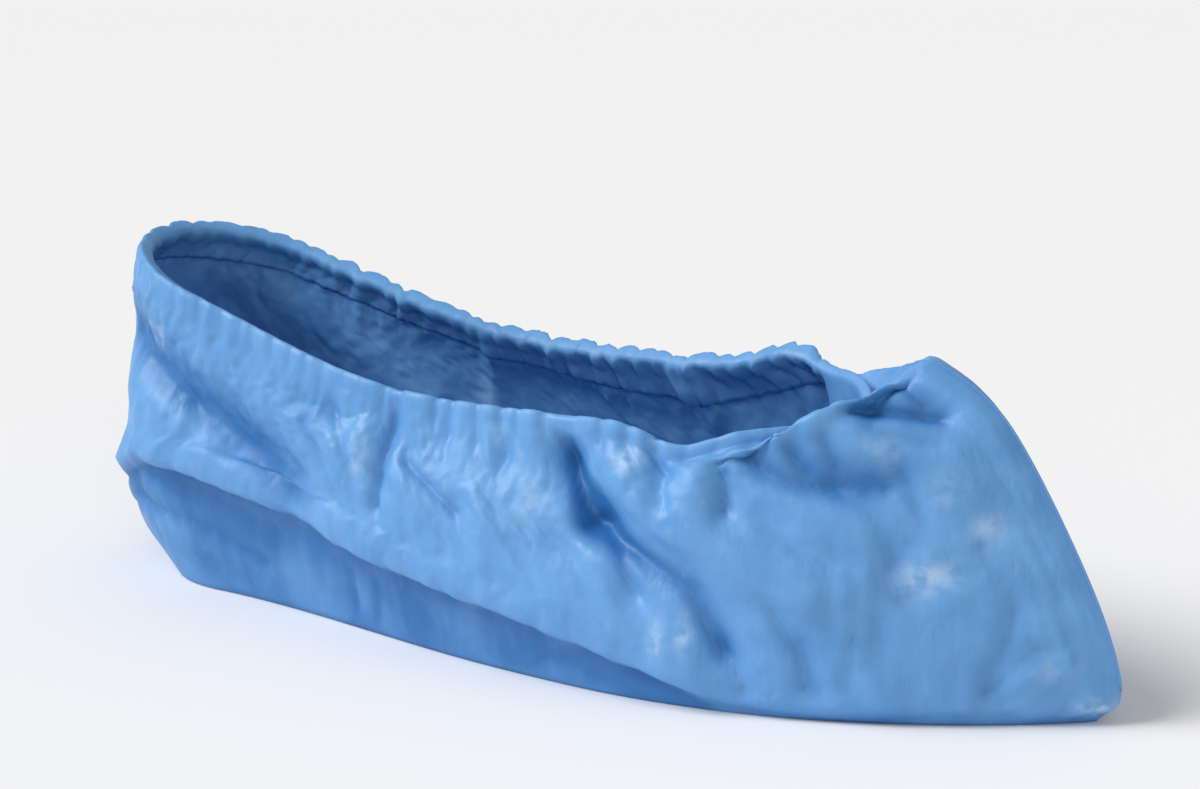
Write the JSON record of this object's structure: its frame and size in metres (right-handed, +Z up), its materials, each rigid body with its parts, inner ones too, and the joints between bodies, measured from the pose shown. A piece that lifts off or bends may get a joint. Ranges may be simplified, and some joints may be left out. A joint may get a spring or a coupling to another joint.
{
  "type": "plastic shoe cover",
  "caption": "Disposable overshoe: a thin film bag with a gathered elastic mouth, held open in the form that a shoe gives it.",
  "frame": {"origin": "on the ground below the middle of the cover's bounding box", "axes": "+X from heel to toe, +Z up from the sole, +Y to the far side, away from the side that the picture shows"},
  "size_m": [0.3336, 0.1072, 0.1024],
  "materials": {
    "film": "satin embossed polyethylene film",
    "hem_film": "satin doubled polyethylene film",
    "elastic": "matt",
    "weld": "smooth welded film"
  },
  "bodies": {
    "root": {"film_cover": "film", "gathered_hem": "hem_film", "elastic_cord": "elastic", "toe_seam": "weld", "heel_seam": "weld"}
  },
  "joints": []
}
